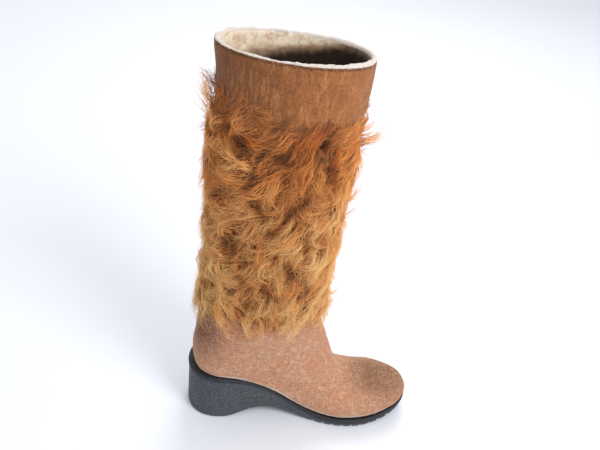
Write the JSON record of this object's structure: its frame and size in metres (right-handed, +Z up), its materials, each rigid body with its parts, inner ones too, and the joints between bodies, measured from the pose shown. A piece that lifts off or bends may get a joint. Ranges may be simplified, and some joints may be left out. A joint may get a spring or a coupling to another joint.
{
  "type": "felt boot",
  "caption": "Knee-high hollow felt boot for the left foot, with a band of wool locks round the shaft and a moulded wedge sole with a lugged forefoot.",
  "frame": {"origin": "on the floor, at the middle of the heel's tread", "axes": "+X from the heel to the toe, +Y to the outer side of the foot, +Z up the shaft"},
  "size_m": [0.257, 0.1306, 0.4412],
  "materials": {
    "sole_rubber": "matte slate grey moulded rubber",
    "wool_felt": "dense brushed wool felt, tan to brown",
    "insole_felt": "pale needled felt",
    "wool_fleece": "long matted wool locks, golden to rust"
  },
  "bodies": {
    "root": {"outsole": "sole_rubber", "upper": "wool_felt", "insole": "insole_felt", "wool_locks": "wool_fleece"}
  },
  "joints": []
}
